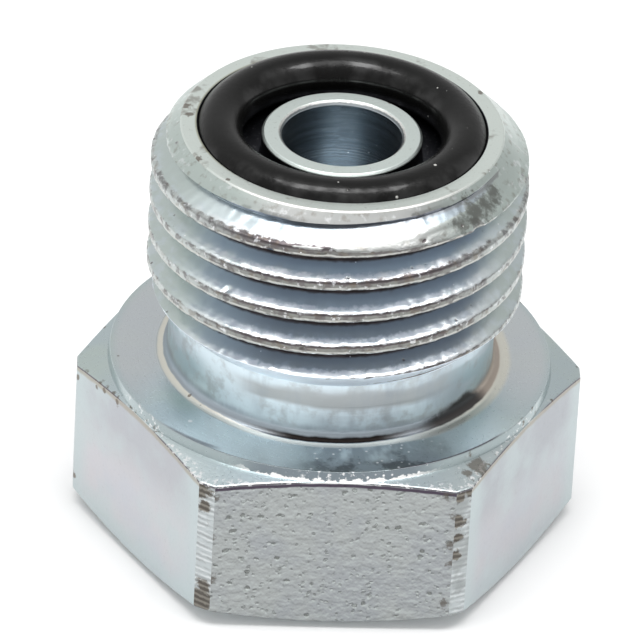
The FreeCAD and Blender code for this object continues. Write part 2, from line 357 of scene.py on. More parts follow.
def paintNeck(board, at):
    cloud = board.noise(board.join(at.aside * 0.035, at.radius * 0.2, at.z * 0.9), 1.0, 3.0)
    streaks = board.noise(board.join(at.aside * 0.12, 0.0, at.z * 0.3), 1.0, 3.0, 0.6)
    coat = Coat(board, neckPaint, "pale")
    # painted reflections: the neck's tone by side and height stands in for what it mirrors: teal to the
    # sides, lighter on the left and at the top, a duller band with a lighter foot in the middle, and
    # dark streaks
    coat.lay(at.fromFront.step(18.0, 58.0), "teal")
    coat.lay(cloud.step(0.45, 0.62) * 0.8, "pale")
    left = (at.aside + (cloud - 0.5) * 30.0).step(-66.0, -50.0) * at.aside.step(-8.0, -22.0)
    coat.lay(left, "light")
    coat.lay((at.z + (cloud - 0.5) * 0.3).step(8.95, 9.15), "light")
    middle = (at.aside + (cloud - 0.5) * 20.0).step(-44.0, -26.0) * at.aside.step(54.0, 30.0)
    dull = (at.z + (cloud - 0.5) * 0.8).band(7.75, 8.35, 8.85, 9.30)
    coat.lay(dull * middle, "dull")
    coat.lay((at.z + (cloud - 0.5) * 0.8).step(8.5, 8.2) * middle, "light")
    coat.lay(streaks.step(0.48, 0.74) * 0.5 * middle, "slateShade")
    # painted shade: darker towards the foot of the neck, and on the right
    coat.lay((at.z + (streaks - 0.5) * 0.8).step(7.70, 7.30) * 0.75, "slateShade")
    coat.lay(at.aside.band(26.0, 38.0, 46.0, 58.0) * 0.35, "slateShade")
    mottled = board.patches(at.point, 1.2, 0.46, 0.66, 4.0, 0.6) * at.z.step(7.3, 7.6)
    coat.lay(mottled * 0.55, "dull")
    tan = at.z.step(7.5, 7.25) * at.aside.step(32.0, 55.0)
    coat.lay(tan * 0.8, "tan")
    # painted dark reflection on the right, highest near its right end
    top = 7.12 + board.maths("MINIMUM", (at.aside - 28.0) * 0.018, (64.0 - at.aside) * 0.045)
    top = top + (board.noise(at.point, 2.4, 4.0, 0.65) - 0.5) * 0.35
    dark = (at.z - top).step(0.22, -0.10) * at.aside.band(24.0, 38.0, 58.0, 68.0)
    coat.lay(dark, "dark")
    paintRoot(board, at, coat)
    coat.lay(board.spots(at.point, neckPaint["brownSpots"]) * 0.7, "rust")
    rings = board.noise(board.join(at.aside * 0.01, 0.0, at.z * 9.0), 1.0, 3.0, 0.6)
    fine = board.noise(at.point, 7.0)
    return coat.colour, 0.34 + (fine - 0.5) * 0.16, rings * 0.006 + fine * 0.003


shoulderPaint = {
    "plain": colour(0.50, 0.58, 0.60), "green": colour(0.52, 0.60, 0.58),
    "violet": colour(0.60, 0.62, 0.645), "slateShade": colour(0.36, 0.41, 0.46),
    "light": colour(0.80, 0.90, 0.93), "deep": colour(0.13, 0.145, 0.155),
    "line": colour(0.16, 0.15, 0.17), "wall": colour(0.92, 0.91, 0.90),
    "wallGrey": colour(0.20, 0.235, 0.26), "wallAside": colour(0.35, 0.41, 0.42),
    "wallFar": colour(0.48, 0.55, 0.56), "turned": colour(0.10, 0.115, 0.12),
    "chamferLitLeft": colour(0.60, 0.68, 0.69), "chamferShadedRight": colour(0.48, 0.54, 0.55),
    "brown": colour(0.13, 0.10, 0.07), "speck": colour(0.95, 0.95, 0.95),
    "brownSpots": [(5.36, -7.05, 6.62, 0.42), (5.0, -7.5, 6.6, 0.25), (-8.77, -1.82, 6.4, 0.12),
                   (-8.3, -2.64, 6.6, 0.12), (-9.3, -0.83, 6.5, 0.13), (7.75, -3.58, 6.7, 0.10)],
    "paleSpots": [(-5.43, -5.13, 7.0, 0.10), (6.26, -6.42, 6.8, 0.10)],
}


def fromEdge(at):  # how far a place lies above the head's upper edge, in millimetres
    slope = math.tan(math.radians(plug["shoulderChamferAngle"]))
    foot = plug["headHeight"] - plug["washerStep"]
    return at.z - foot + (at.radius - plug["washerFootRadius"]) * slope


def paintShoulder(board, at):
    cloud = board.noise(at.point, 0.35, 3.0)
    fine = board.noise(at.point, 8.0, 3.0, 0.6)
    circle = plug["washerFaceRadius"]
    coat = Coat(board, shoulderPaint, "plain")
    coat.lay(cloud.step(0.40, 0.62), "green")
    violet = at.fromFront.step(55.0, 80.0) * at.radius.step(circle + 0.1, circle - 0.4)
    coat.lay(violet * 0.7, "violet")
    wander = at.radius + (board.noise(at.point, 0.8) - 0.5) * 0.9
    # painted light and shade: lighter patches to the front left and right, darker and mottled in front,
    # where the shoulder mirrors the dark side of the thread
    light = at.aside.band(-54.0, -40.0, -18.0, -6.0) * 0.8
    light = light + at.aside.band(28.0, 36.0, 42.0, 60.0) * 0.6
    coat.lay(light, "light")
    front = (at.aside + (cloud - 0.5) * 40.0).step(-20.0, -4.0) * at.aside.step(40.0, 20.0)
    coat.lay(front * wander.step(8.5, 8.1) * 0.75, "slateShade")
    mottled = board.patches(at.point, 0.8, 0.44, 0.60, 4.0, 0.65)
    coat.lay(front * mottled * at.radius.step(7.0, 7.5) * 0.85, "deep")
    # painted reflections: light streaks across the front of the shoulder
    streaks = board.noise(board.join(at.aside * 0.12, at.radius * 0.4, 0.0), 1.0, 3.0, 0.6)
    streaks = streaks.step(0.46, 0.66) * at.radius.step(8.1, 7.3)
    coat.lay(front * streaks * 0.8, "light")
    # painted shadow of the step: dark lines just inside the edge of the washer face
    arc = at.aside.band(12.0, 22.0, 44.0, 52.0)
    line = at.radius.band(circle - 0.10, circle - 0.04, circle, circle + 0.04)
    coat.lay(line * arc, "line")
    # painted shade: a dark streak where the step's wall shows at the left front
    streak = (at.radius + (at.aside + 40.0) * 0.012).band(8.15, 8.3, 8.36, 8.5)
    streak = streak * at.aside.step(-56.0, -46.0) * at.aside.step(-30.0, -36.0)
    coat.lay(streak * 0.7, "line")
    # painted shade: a dark ring along the washer face's edge in front
    turned = at.radius.band(circle - 0.05, circle - 0.035, circle, circle + 0.01)
    turned = turned * at.aside.step(16.0, 6.0) * at.aside.step(-46.0, -30.0)
    coat.lay(turned * 0.9, "turned")
    # chamfer outside the washer face, and the low wall between them
    outer = at.radius.step(circle - 0.02, circle + 0.01)
    foot = plug["washerFootRadius"]
    onWall = outer * at.radius.step(foot + 0.02, foot)
    # painted light: the chamfer lighter on the left, where the light is stronger, and darker on the
    # right
    chamfer = coat.blend(at.aside.step(-20.0, 20.0), "chamferLitLeft", "chamferShadedRight")
    coat.lay(outer * at.fromFront.step(75.0, 50.0), chamfer)
    # the wall's tone from front to sides is painted light; its white lumps are partly burr, partly a
    # painted highlight
    lumps = board.noise(board.join(at.x * 1.7, at.y * 2.4, at.z * 2.4), 1.6, 4.0, 0.65)
    white = (lumps + (6.70 - at.z) * 2.0).step(0.49, 0.57)
    wall = Coat(board, shoulderPaint, "wallGrey")
    wall.lay(white, "wall")
    wall.lay(at.fromFront.step(18.0, 30.0), "wallAside")
    wall.lay(at.fromFront.step(50.0, 72.0), "wallFar")
    coat.lay(onWall, wall.colour)
    paintRoot(board, at, coat)
    # white along the front edge: partly burr, partly a painted highlight
    burrsAndHighlight = (lumps * 1.2 - at.y).step(9.02, 9.14) * at.radius.step(foot, foot + 0.02)
    coat.lay(burrsAndHighlight, "speck")
    # painted shadow: the dark band beneath the head's edge, carried over its rounding
    rounded = fromEdge(at).step(-0.012, -0.03) * at.radius.step(foot, foot + 0.02)
    coat.lay(rounded, "line")
    # reach is measured square to the nearest flat: white specks, partly burr and partly a painted
    # highlight, and grime lie along its edge
    toFlat = board.maths("PINGPONG", at.aside + 30.0, 30.0)
    reach = board.maths("COSINE", (30.0 - toFlat) / math.degrees(1.0)) * at.radius
    corner = at.fromFront.band(20.0, 27.0, 35.0, 44.0) * 0.2
    rim = (reach + (fine - 0.5) * 0.3 + corner).step(8.26, 8.40)
    rim = rim * at.fromFront.step(85.0, 45.0)
    crumbsAndHighlight = (board.noise(at.point, 5.0, 3.0, 0.6) + corner * 0.3).step(0.55, 0.66)
    coat.lay(rim * crumbsAndHighlight * 0.8, "speck")
    grime = board.patches(at.point, 2.2, 0.60, 0.68) * reach.step(8.30, 8.40)
    coat.lay(grime * at.fromFront.step(30.0, 40.0) * 0.8, "brown")
    coat.lay(board.spots(at.point, shoulderPaint["paleSpots"]), "speck")
    coat.lay(board.spots(at.point, shoulderPaint["brownSpots"]) * 0.7, "brown")
    # painted glints: small white specks over the front of the shoulder
    coat.lay(board.dots(at.point, 3.2, 0.17, 0.6) * front, "speck")
    coat.lay(board.dots(at.point, 1.0, 0.05, 0.12) * 0.6, "brown")
    rings = board.noise(board.join(at.radius * 9.0, at.aside * 0.01, 0.0), 1.0, 3.0, 0.6)
    return coat.colour, 0.30 + (fine - 0.5) * 0.18, rings * 0.006 + fine * 0.006


flatPaint = {
    "plain": colour(0.55, 0.56, 0.60), "cream": colour(0.58, 0.57, 0.595),
    "green": colour(0.52, 0.59, 0.60), "edge": colour(0.38, 0.35, 0.29),
    "shade": colour(0.425, 0.445, 0.475), "brown": colour(0.16, 0.13, 0.10),
    "brownSpots": [(-9.58, -0.42, 5.8, 0.14), (-8.13, -2.92, 6.34, 0.13), (-8.6, -2.1, 6.3, 0.11),
                   (-8.9, -1.6, 6.15, 0.10), (-9.6, -0.4, 1.3, 0.14)],
}


def paintFlat(board, at):
    cloud = board.noise(at.point, 0.28, 3.0)
    fine = board.noise(at.point, 7.0, 4.0, 0.6)
    coat = Coat(board, flatPaint, "plain")
    coat.lay(cloud.step(0.42, 0.60), "cream")
    coat.lay((at.z + cloud * 2.5).step(3.2, 1.8) * 0.8, "green")
    shade = at.z.step(3.0, 5.5) * 0.75 + at.x.step(0.0, 8.0) * 0.35
    coat.lay(shade, "shade")
    coat.lay(board.noise(at.point, 0.5).step(0.40, 0.74) * 0.7, "green")
    coat.lay(at.radius.step(9.05, 9.5) * 0.8, "green")
    coat.lay(fine.step(0.60, 0.75) * 0.10, "brown")
    # painted shadow: a dark band beneath the head's top edge
    edge = fromEdge(at) + (board.noise(at.point, 1.5) - 0.5) * 0.12
    coat.lay(edge.step(-0.30, -0.16) * 0.8, "edge")
    coat.lay(board.spots(at.point, flatPaint["brownSpots"]) * 0.85, "brown")
    drawn = board.noise(board.join(at.x * 0.4, at.y * 0.4, at.z * 5.0), 1.0, 3.0, 0.6)
    return coat.colour, 0.36 + (fine - 0.5) * 0.15, fine * 0.008 + drawn * 0.008


roughPaint = {
    "plain": colour(0.395, 0.415, 0.415), "dull": colour(0.365, 0.385, 0.40),
    "pit": colour(0.17, 0.18, 0.17), "rim": colour(0.52, 0.56, 0.55),
    "edge": colour(0.085, 0.07, 0.095), "brown": colour(0.12, 0.105, 0.09),
    "brownSpots": [(4.25, -8.5, 6.05, 0.22), (4.5, -8.5, 5.2, 0.20), (4.45, -8.5, 3.9, 0.22),
                   (4.5, -8.5, 3.1, 0.16), (4.3, -8.5, 1.2, 0.18), (-4.45, -8.5, 5.9, 0.20),
                   (-4.5, -8.5, 4.0, 0.14), (-4.5, -8.5, 2.1, 0.18)],
}


# Pits of the rolled bar, wider than high, their dark insides painted shade. The same pattern a little
# higher up gives their lit edges, a painted highlight.
def pitsAt(board, at, lift):
    bend = board.noise(at.point, 3.2, 2.0) * 0.28
    place = board.join(at.x + bend, at.y, (at.z + lift + bend) * 1.45)
    large = board.dots(place, 1.7, 0.18, 0.65)
    small = board.dots(place, 3.4, 0.22, 0.75)
    return board.maths("MAXIMUM", small * 0.6, large)


def reliefAt(board, at, lift):
    return board.noise(board.join(at.x, at.y, (at.z + lift) * 1.35), 3.0, 2.0, 0.55)


def paintRough(board, at):
    pits, above = pitsAt(board, at, 0.0), pitsAt(board, at, 0.07)
    cloud = board.noise(at.point, 0.45, 3.0)
    fine = board.noise(board.join(at.x * 4.0, at.y * 4.0, at.z * 6.5), 1.0, 3.0, 0.6)
    coat = Coat(board, roughPaint, "plain")
    coat.lay(cloud.step(0.4, 0.6), "dull")
    coat.lay((above - pits).step(0.05, 0.6) * 0.9, "rim")
    coat.lay(pits * 0.80, "pit")
    # painted light and shade: a relief lit from above, lighter on one side and darker on the other
    relief = reliefAt(board, at, 0.0) - reliefAt(board, at, 0.07)
    coat.lay(relief.step(0.0, 0.16) * 0.50, "rim")
    coat.lay(relief.step(0.0, -0.16) * 0.32, "pit")
    coat.lay(fine.step(0.54, 0.74) * 0.30, "rim")
    coat.lay(fine.step(0.46, 0.28) * 0.30, "pit")
    # painted shadow: a dark band beneath the top edge, with a painted highlight along the edge itself
    edge = fromEdge(at) + (board.noise(at.point, 1.5) - 0.5) * 0.08
    coat.lay(edge.band(-0.24, -0.18, -0.09, -0.05), "edge")
    coat.lay(edge.step(-0.06, -0.03), shoulderPaint["wall"])
    stains = board.spots(at.point, roughPaint["brownSpots"]) * board.patches(at.point, 3.0, 0.36, 0.56)
    coat.lay(stains * 0.8, "brown")
    return coat.colour, 0.48 + (fine - 0.5) * 0.2, fine * 0.02 - pits * 0.05


cornerPaint = {
    "plain": colour(0.50, 0.54, 0.55), "ridge": colour(0.66, 0.69, 0.70),
    "valley": colour(0.36, 0.38, 0.385), "brown": colour(0.10, 0.085, 0.07),
    "brownRidge": colour(0.24, 0.22, 0.185), "dull": colour(0.31, 0.33, 0.33),
    "ridgePitch": 0.24,
    "brownSpots": [(-5.0, -8.1, 5.95, 0.45), (-4.8, -8.25, 5.3, 0.32), (-4.9, -8.2, 1.0, 0.62),
                   (-4.75, -8.3, 1.7, 0.3), (4.62, -8.4, 6.0, 0.26), (4.62, -8.4, 5.0, 0.30),
                   (4.62, -8.4, 4.2, 0.24), (4.62, -8.4, 3.4, 0.20), (4.95, -8.1, 6.2, 0.3)],
}


def paintCorner(board, at):  # turned corners of the head: fine ridges and brown stains
    fine = board.noise(at.point, 6.0, 3.0, 0.6)
    tilt = at.aside * 0.015 + (fine - 0.5) * 0.12
    wave = board.maths("SINE", (at.z + tilt) * (math.tau / cornerPaint["ridgePitch"]))
    deep = board.patches(board.join(at.x, at.y, at.z * 3.0), 1.2, 0.35, 0.6)
    coat = Coat(board, cornerPaint, "plain")
    coat.lay(wave.step(0.1, 0.9) * deep, "ridge")
    coat.lay(wave.step(-0.2, -0.9) * deep, "valley")
    # darker patches on the right corner: partly dirt, partly painted shade
    right = at.x.step(3.0, 4.0) * at.y.step(-5.0, -7.0)
    coat.lay(right * board.patches(at.point, 1.4, 0.35, 0.6) * 0.75, "dull")
    stains = board.maths("MAXIMUM", board.spots(at.point, cornerPaint["brownSpots"]),
                         board.patches(at.point, 0.5, 0.60, 0.66) * at.fromFront.step(50, 70))
    stain = coat.blend((wave + (fine - 0.5) * 2.0).step(-0.6, 1.0), "brown", "brownRidge")
    coat.lay(stains * 0.92, stain)
    # painted shadow: darker beneath the head's top edge
    edge = fromEdge(at)
    coat.lay(edge.step(-0.15, -0.05) * 0.8, "brown")
    return coat.colour, 0.32 + stains * 0.2 + (fine - 0.5) * 0.2, wave * 0.012 + fine * 0.01


facePaint = {
    "ring": colour(0.71, 0.77, 0.73), "boss": colour(0.68, 0.75, 0.72),
    "edge": colour(0.88, 0.88, 0.85), "dirt": colour(0.20, 0.175, 0.15),
    "lip": colour(0.30, 0.29, 0.17), "below": colour(0.22, 0.24, 0.25),
    "dirtSpots": [(-5.9, 1.2, 17.0, 0.18), (-5.75, 0.6, 17.0, 0.14), (-5.5, -2.6, 17.0, 0.14),
                  (-4.4, -4.0, 17.0, 0.10), (5.3, 2.7, 17.0, 0.12), (1.9, 2.3, 16.7, 0.10)],
}


def paintFace(board, at):
    fine = board.noise(at.point, 7.0, 4.0, 0.6)
    mouth, rim, top = plug["mouthRadius"], plug["sealFaceRadius"], plug["bossTop"]
    hole = plug["boreRadius"] + plug["boreEdge"]
    onBoss = at.radius.step(mouth - 1.0, mouth - 1.2)  # 0 on the sealing face
    coat = Coat(board, facePaint, "ring")
    coat.lay(onBoss, "boss")
    left = at.aside.step(-35.0, -70.0)
    dirt = (board.noise(at.point, 1.1, 3.0, 0.6) + left * 0.05).step(0.58, 0.72)
    coat.lay(dirt * (1.0 - onBoss) * 0.6, "dirt")
    lip = at.radius.step(mouth + 0.14, mouth + 0.06) * (1.0 - onBoss) * left
    coat.lay(lip * 0.7, "lip")
    coat.lay(fine.step(0.58, 0.72) * 0.25, "dirt")
    ragged = (fine - 0.5) * 0.12
    # painted highlight along the rim of the sealing face, in front only, and a light band round the
    # bore's edge
    outer = (at.radius + ragged).step(rim - 0.08, rim - 0.03) * at.fromFront.step(58.0, 25.0)
    inner = (at.radius + ragged).step(hole + 0.02, hole - 0.05)
    coat.lay(board.maths("MAXIMUM", outer, inner), "edge")
    # painted shade: the bore's wall just below its edge is darker
    below = (at.z + ragged * 0.6).step(top - 0.045, top - 0.085)
    below = below * at.radius.step(hole + 0.06, hole + 0.03)
    coat.lay(below, "below")
    coat.lay(board.spots(at.point, facePaint["dirtSpots"]) * 0.85, "dirt")
    rings = board.noise(board.join(at.radius * 8.0, at.aside * 0.01, 0.0), 1.0, 3.0, 0.6)
    return coat.colour, 0.38 + (fine - 0.5) * 0.2, rings * 0.006 + fine * 0.008


borePaint = {
    "wall": colour(0.57, 0.63, 0.67), "dark": colour(0.42, 0.47, 0.51), "pale": colour(0.85, 0.88, 0.90),
}


def paintBore(board, at):
    rings = board.noise(board.join(at.aside * 0.006, 0.0, at.z * 5.0), 1.0, 4.0, 0.65)
    fine = board.noise(at.point, 9.0)
    coat = Coat(board, borePaint, "dark")
    coat.lay(rings.step(0.35, 0.65), "wall")
    marks = board.maths("SINE", at.z * 48.0 + at.aside * 0.02) * at.z.band(14.2, 14.4, 14.7, 14.85)
    coat.lay(marks.step(0.0, 0.9) * 0.6, "pale")
    coat.lay(at.z.step(14.4, 14.2) * 0.15, "pale")
    coat.lay(board.dots(at.point, 1.3, 0.07, 0.2), "pale")
    return coat.colour, 0.25 + (fine - 0.5) * 0.1, rings * 0.012


# painted shade: the groove's walls are near black, standing in for the shade in the groove
groovePaint = {"wall": colour(0.045, 0.047, 0.055), "pale": colour(0.14, 0.14, 0.15)}


def paintGroove(board, at):
    fine = board.noise(at.point, 6.0, 3.0, 0.6)
    coat = Coat(board, groovePaint, "wall")
    coat.lay(fine.step(0.55, 0.75), "pale")
    return coat.colour, 0.4 + (fine - 0.5) * 0.2, fine * 0.01


zonePaints = {"thread": paintThread, "neck": paintNeck, "shoulder": paintShoulder,
              "flat": paintFlat, "roughFlat": paintRough, "corner": paintCorner,
              "face": paintFace, "bore": paintBore, "groove": paintGroove}


def platedSteel(name):
    material, board = newMaterial(f"platedSteel_{name}")
    base, rough, height = zonePaints[name](board, Place(board))
    finishMaterial(board, {"Base Color": base, "Metallic": 1.0, "Roughness": rough,
                           "Normal": board.bump(height)})
    return material


zones = list(zonePaints)
steels = {name: platedSteel(name) for name in zones}
print(f"{len(zones)} steel finishes mixed")


# Geometry Nodes tree that cuts the thread: a grid whose rows follow the helix, wrapped round the
# axis, then trimmed by the lead cone above and the relief cone below
def threadTree():
    tree = bpy.data.node_groups.new("cutThread", "GeometryNodeTree")
    tree.is_modifier = True
    face = tree.interface
    sockets = {}
    for name, value in thread.items():
        kind = "NodeSocketInt" if isinstance(value, int) else "NodeSocketFloat"
        sockets[name] = face.new_socket(name=name, in_out="INPUT", socket_type=kind)
    sockets["steel"] = face.new_socket(name="steel", in_out="INPUT",
                                       socket_type="NodeSocketMaterial")
    face.new_socket(name="Geometry", in_out="OUTPUT", socket_type="NodeSocketGeometry")
    board = Board(tree)
    first = board.add("NodeGroupInput", None, (), "pitch")
    given = {name: board.other(first, name) for name in sockets}
    pitch, bottom, top = given["pitch"], given["bottom"], given["top"]
    # each row climbs a whole pitch on its way round, so the grid starts a turn lower
    rows = board.maths("CEIL", (top - bottom + pitch * 1.2) / pitch * given["rowsPerTurn"])
    grid = board.add("GeometryNodeMeshGrid", None, {
        "Size X": 1.0, "Size Y": 1.0, "Vertices X": given["columns"] + 1.0,
        "Vertices Y": rows + 1.0}, "Mesh")
    x, y, _ = board.split(board.add("GeometryNodeInputPosition"))
    turn = x + 0.5
    angle = turn * math.tau
    crestMiddle = given["crestStart"] + given["crestWidth"] * 0.5
    turns = (bottom - pitch * 1.1 - crestMiddle) / pitch + (y + 0.5) * rows / given["rowsPerTurn"]
    crowded = board.maths("SINE", turns * math.tau) * given["crowding"] / math.tau
    along = (turns - crowded) * pitch + crestMiddle  # rows stand closer together at the crest
    height = board.maths("MINIMUM", board.maths("MAXIMUM", along + turn * pitch, bottom), top)
    cosine, sine = board.maths("COSINE", angle), board.maths("SINE", angle)
    around = board.join(cosine * given["majorRadius"], sine * given["majorRadius"], height)
    phase = board.maths("FRACT", (along - crestMiddle) / pitch + 0.5) - 0.5
    wobble = (board.noise(around, 3.0, 2.0) - 0.5) * given["edgeWobble"]
    fromCrest = phase.size() * pitch - given["crestWidth"] * 0.5 + wobble
    rounding = given["edgeRounding"]
    flank = given["majorRadius"] - board.maths("SMOOTH_MAX", fromCrest, 0.0, rounding
                                               ) * given["flankSlope"]
    radius = board.maths("SMOOTH_MAX", flank, given["rootRadius"], rounding)
    lead = given["faceRadius"] + (given["faceHeight"] - height)
    relief = given["neckRadius"] + (height - bottom)
    radius = board.maths("SMOOTH_MIN", radius, lead, rounding)
    radius = board.maths("SMOOTH_MIN", radius, relief, rounding)
    crest = fromCrest.step(0.14, -0.02)
    fromEnds = (height - bottom).step(0.0, 0.3) * (top - height).step(0.0, 0.3)
    dents = board.noise(around, 1.3, 3.0, 0.6).step(0.58, 0.75) * given["dentDepth"]
    grain = (board.noise(around, 5.5, 2.0) - 0.5) * given["crestGrain"]
    change = (grain - dents) * crest
    for markX, markY, markZ, size, out in crestMarkPlaces():
        distance = board.vector("DISTANCE", (around, (markX, markY, markZ)), "Value")
        change = change + distance.step(size, size * 0.3) * out
    radius = radius + change * fromEnds
    place = board.join(cosine * radius * millimetre, sine * radius * millimetre,
                       height * millimetre)
    wrapped = board.add("GeometryNodeSetPosition", None, {"Geometry": grid, "Position": place})
    welded = board.add("GeometryNodeMergeByDistance", None,
                       {"Geometry": wrapped, "Distance": 0.002 * millimetre})
    plain = board.add("GeometryNodeRealizeInstances", None, {"Geometry": welded})
    dressed = board.add("GeometryNodeSetMaterial", None,
                        {"Geometry": plain, "Material": given["steel"]})
    board.add("NodeGroupOutput", None, {"Geometry": dressed})
    return tree, sockets


def cutThread():
    tree, sockets = threadTree()
    holder = newObject("threadTurns", bpy.data.meshes.new("threadTurns"))
    modifier = holder.modifiers.new("cutThread", "NODES")
    modifier.node_group = tree
    for name, value in thread.items():
        modifier[sockets[name].identifier] = value
    modifier[sockets["steel"].identifier] = steels["thread"]
    graph = bpy.context.evaluated_depsgraph_get()
    mesh = bpy.data.meshes.new_from_object(holder.evaluated_get(graph))
    holder.modifiers.remove(modifier)
    bpy.data.objects.remove(holder)
    return mesh


# A turned outline. Each station is a radius and a height, how far the corner there is rounded
# from, and the zone that follows it. A radius or a height may differ from column to column.
def turnedRows(stations, columns, steps=4):
    corners = []
    for radius, height, *_ in stations:
        both = [np.broadcast_to(np.asarray(v, float), (columns,)) for v in (radius, height)]
        corners.append(np.stack(both, axis=1))
    rows, names = [], []
    beyond = 1.35  # a row just past each rounding keeps the shading of the long sides even
    for number, (_, _, rounding, zone) in enumerate(stations):
        here = corners[number]
        if rounding == 0:
            rows.append(here)
            names.append(zone)
            continue
        before = corners[number - 1] - here
        after = corners[number + 1] - here
        spans = [np.linalg.norm(side, axis=1)[:, None] for side in (before, after)]
        reach = np.minimum(rounding, 0.35 * np.minimum(*spans))
        before, after = before / spans[0] * reach, after / spans[1] * reach
        rows.append(here + before * beyond)
        names.append(stations[number - 1][3])
        for part in np.linspace(0, 1, steps + 1):
            rows.append(here + before * (1 - part) ** 2 + after * part ** 2)
            names.append(zone)
        rows.append(here + after * beyond)
        names.append(zone)
    return rows, names


class Shell:  # vertices and faces of a turned body, with the zone of each face
    def __init__(self, columns):
        self.angles = np.arange(columns) * math.tau / columns
        self.vertices, self.faces, self.zones = [], [], []

    def ring(self, row, every=1):
        first = len(self.vertices)
        chosen = range(0, len(self.angles), every)
        for column in chosen:
            radius, height = row[column]
            angle = self.angles[column]
            self.vertices.append((radius * math.cos(angle), radius * math.sin(angle), height))
        return list(range(first, first + len(chosen)))

    def pole(self, height):
        self.vertices.append((0.0, 0.0, height))
        return [len(self.vertices) - 1]

    def bridge(self, lower, upper, zone):
        count, other = len(lower), len(upper)
        for column in range(max(count, other) if min(count, other) == 1 else min(count, other)):
            after = column + 1
            if other == 1:
                made = [(lower[column], lower[after % count], upper[0])]
            elif count == 1:
                made = [(lower[0], upper[after % other], upper[column])]
            elif count == other:
                made = [(lower[column], lower[after % count],
                         upper[after % count], upper[column])]
            else:  # two columns of the lower ring meet one of the upper ring
                a, b, c = (lower[(2 * column + i) % count] for i in range(3))
                d, e = upper[column], upper[after % other]
                made = [(a, b, d), (b, e, d), (b, c, e)]
            self.faces += made
            self.zones += [zone(column) if callable(zone) else zone] * len(made)

    def turn(self, rows, names, ring, zone, every=1):
        for row, name in zip(rows, names):
            following = self.ring(row, every)
            self.bridge(ring, following, zone)
            ring, zone = following, name
        return ring, zone


def snapToCorners(angles):  # moves the columns so that two on each side end at a corner's edge
    two, half = 2 * math.tau / len(angles), math.radians(30)
    reach = half - math.acos(plug["acrossFlats"] / 2 / plug["cornerRadius"])
    fromCorner = (angles + half) % (2 * half) - half
    moved = np.interp(fromCorner, (-half, -two, two, half), (-half, -reach, reach, half))
    return angles + moved - fromCorner


def hexRadius(angles):  # the head seen from above: six flats and six turned corners
    toFlat = angles % math.radians(60) - math.radians(30)
    return np.minimum(plug["acrossFlats"] / 2 / np.cos(toFlat), plug["cornerRadius"])


def sideZone(column):  # two columns on each side of a corner belong to the turned corner
    sector = plug["columns"] // 6
    if (column + 2) % sector < 4:
        return "corner"
    return "roughFlat" if column // sector == plug["frontFlat"] else "flat"


def turnBlank():
    columns = plug["columns"]
    shell = Shell(columns)
    even, shell.angles = shell.angles, snapToCorners(shell.angles)
    head = hexRadius(shell.angles)
    endSlope = math.tan(math.radians(plug["endChamferAngle"]))
    topSlope = math.tan(math.radians(plug["shoulderChamferAngle"]))
    top, endFace = plug["headHeight"], plug["endFaceRadius"]
    foot = top - plug["washerStep"]
    low = (head - endFace) * endSlope
    high = foot - (head - plug["washerFootRadius"]) * topSlope
    neck, fillet, rounding = plug["neckRadius"], plug["neckFillet"], plug["rounding"]
    # from the middle of the closed end outwards and up to the thread
    outside = [
        (endFace - 1, 0.0, 0, "flat"),
        (endFace, 0.0, rounding["end"], "flat"),
        (head, low, rounding["side"], sideZone),
        (head, high, rounding["shoulder"], "shoulder"),
        (plug["washerFootRadius"], foot, 0, "shoulder"),
        (plug["washerFaceRadius"], top, rounding["turned"], "shoulder"),
        (7.5, top, 0, "shoulder"),
        (neck + fillet + 0.08, top, 0, "shoulder"),
        (neck + fillet, top, 0, "neck"),
    ]
    for part in range(1, 8):
        turn = math.radians(90 * part / 8)
        outside.append((neck + fillet - fillet * math.sin(turn),
                        top + fillet - fillet * math.cos(turn), 0, "neck"))
    outside += [
        (neck, top + fillet, 0, "neck"),
        (neck, top + plug["neckLength"] - 0.3, 0, "neck"),
        (neck, thread["bottom"], 0, "neck"),
    ]
    rows, names = turnedRows(outside, columns)
    ring, zone = shell.turn(rows[:-1], names[:-1], shell.pole(0.0), "flat")
    shell.angles = even
    shell.turn(rows[-1:], names[-1:], ring, zone)

    face, faceRadius, mouth = plug["sealFace"], plug["sealFaceRadius"], plug["mouthRadius"]
    floor, floorRadius = plug["grooveFloor"], plug["grooveFloorRadius"]
    # from the thread over the sealing face into the groove, then over the boss down the bore
    lip = [
        (faceRadius + face - thread["top"], thread["top"], 0, "face"),
        (faceRadius, face, rounding["face"], "face"),
        (mouth, face, rounding["mouth"], "groove"),
        (floorRadius, floor, 0, "groove"),
    ]
    rows, names = turnedRows(lip, columns)
    ring, zone = shell.turn(rows[1:-1], names[1:-1], shell.ring(rows[0]), names[0])
    boss, bossTop, edge = plug["bossRadius"], plug["bossTop"], plug["bossEdge"]
    bore, boreEdge = plug["boreRadius"], plug["boreEdge"]
    inside = [
        (mouth + 0.25, face - 0.7, 0, "groove"),
        (floorRadius, floor, rounding["floor"], "groove"),
        (boss, floor, rounding["floor"], "groove"),
        (boss, bossTop - edge, rounding["turned"], "face"),
        (boss - edge, bossTop, rounding["turned"], "face"),
        (bore + boreEdge, bossTop, rounding["turned"], "face"),
        (bore, bossTop - boreEdge, rounding["turned"], "bore"),
        (bore, plug["boreEnd"], 0, "bore"),
    ]
    rows, names = turnedRows(inside, columns)
    ring, zone = shell.turn(rows, names, ring, zone, 2)
    shell.bridge(ring, shell.pole(plug["drillTip"]), "bore")
    return shell


